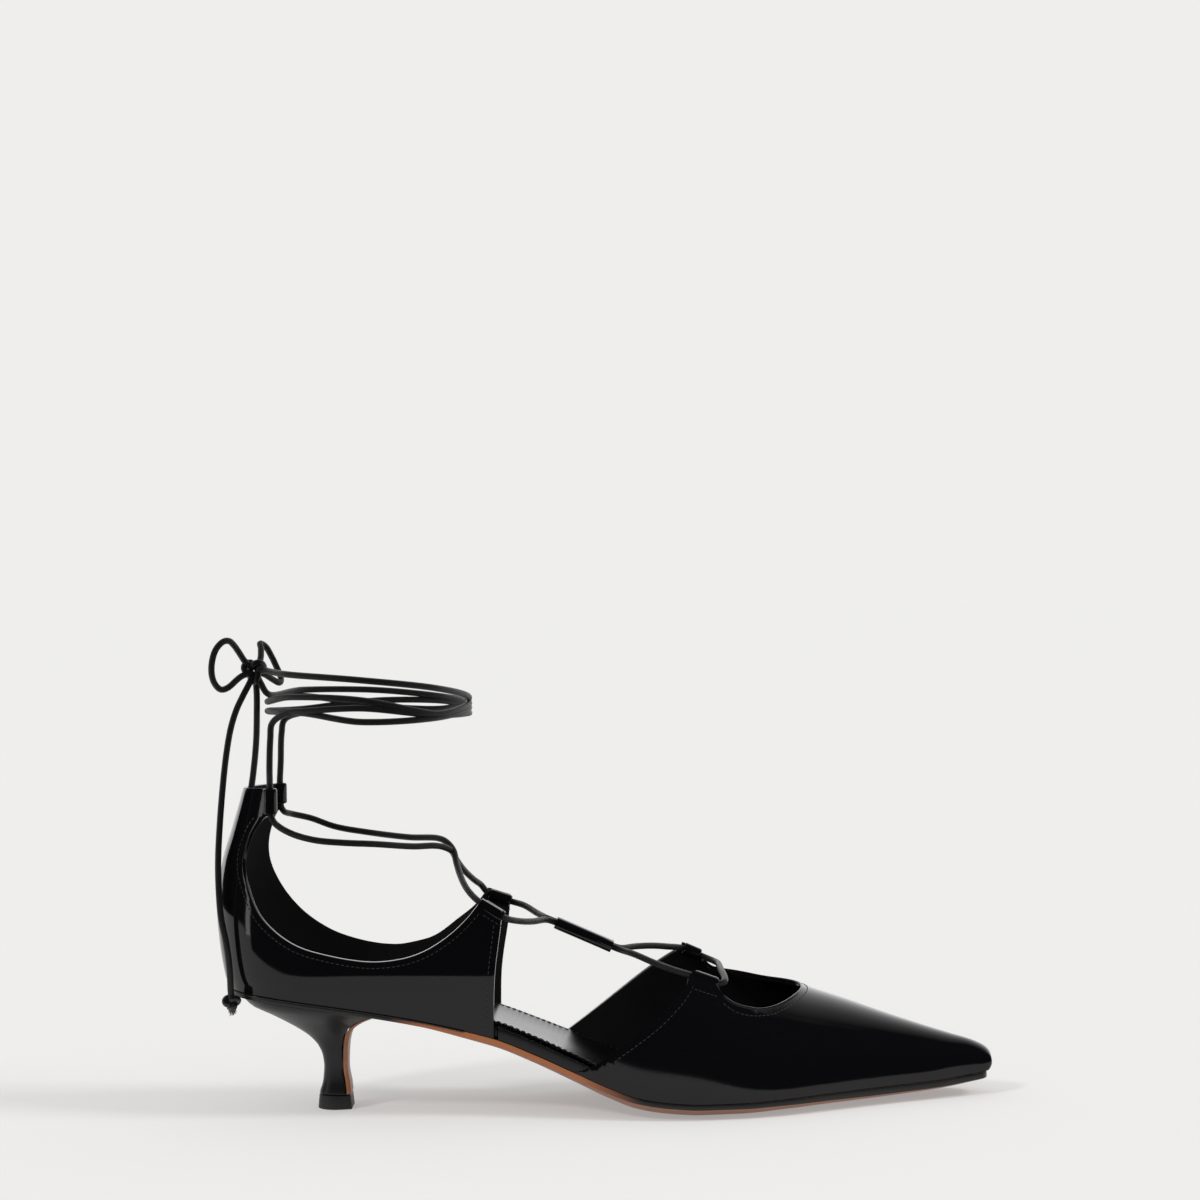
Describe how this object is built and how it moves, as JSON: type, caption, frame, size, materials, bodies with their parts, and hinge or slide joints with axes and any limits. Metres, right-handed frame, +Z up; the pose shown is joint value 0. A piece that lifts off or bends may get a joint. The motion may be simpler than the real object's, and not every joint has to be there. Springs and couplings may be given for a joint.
{
  "type": "lace up kitten heel",
  "caption": "Right shoe with a low curved heel, a long squared point toe, an open waist, and a cord that laces over the instep and ties behind the ankle.",
  "frame": {"origin": "centre of the heel lift's underside, on the floor", "axes": "+X from heel to toe, +Y towards the inner side of the foot, +Z up"},
  "size_m": [0.2637, 0.0778, 0.1594],
  "materials": {
    "upper_leather": "semi-gloss, matt black lining inside",
    "insole_wrap": "semi-gloss",
    "sock_leather": "glossy",
    "outsole_leather": "smooth, satin, black edge",
    "heel_cover": "satin",
    "top_lift": "matt",
    "lace_cord": "fine braid, satin"
  },
  "bodies": {
    "root": {"upper_vamp": "upper_leather", "upper_quarter": "upper_leather", "insole_board": "insole_wrap", "sock_liner": "sock_leather", "outsole": "outsole_leather", "heel": "heel_cover", "top_lift": "top_lift", "lace_keeper": "upper_leather", "lace_front_bridge": "lace_cord", "lace_fore": "lace_cord", "lace_rear": "lace_cord", "ankle_wrap": "lace_cord", "bow_knot": "lace_cord", "bow_loop_outer": "lace_cord", "bow_loop_inner": "lace_cord", "lace_end_outer": "lace_cord", "end_knot_outer": "lace_cord", "lace_end_inner": "lace_cord", "end_knot_inner": "lace_cord"}
  },
  "joints": []
}
